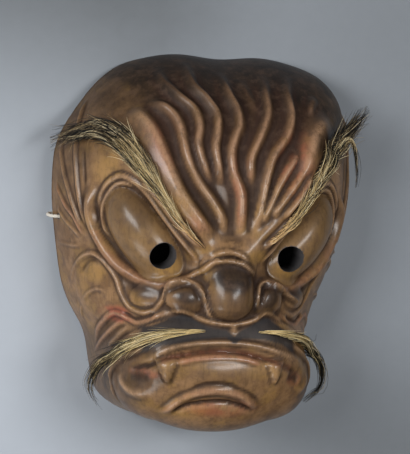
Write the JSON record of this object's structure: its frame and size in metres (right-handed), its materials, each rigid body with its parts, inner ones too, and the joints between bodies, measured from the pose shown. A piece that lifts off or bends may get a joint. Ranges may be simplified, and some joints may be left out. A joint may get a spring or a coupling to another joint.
{
  "type": "carved wooden theatre mask",
  "caption": "Hollow carved wooden mask of a scowling demon with ridged forehead, bulging eyes, clamped mouth, fangs, hair brows and moustache, and a cord loop at the rim.",
  "frame": {"origin": "middle of the whole part in plan, at the level of the rim that the mask lies on", "axes": "+Z out of the face, +Y to the forehead, +X to the right of someone who looks at the face"},
  "size_m": [0.1762, 0.2084, 0.0925],
  "materials": {
    "painted_wood": "satin",
    "brow_hair": "satin",
    "lip_hair": "satin",
    "cord": "matte"
  },
  "bodies": {
    "root": {"mask_body": "painted_wood", "eyebrow_left": "brow_hair", "eyebrow_right": "brow_hair", "moustache_left": "lip_hair", "moustache_right": "lip_hair", "tie_cord_left": "cord"}
  },
  "joints": []
}
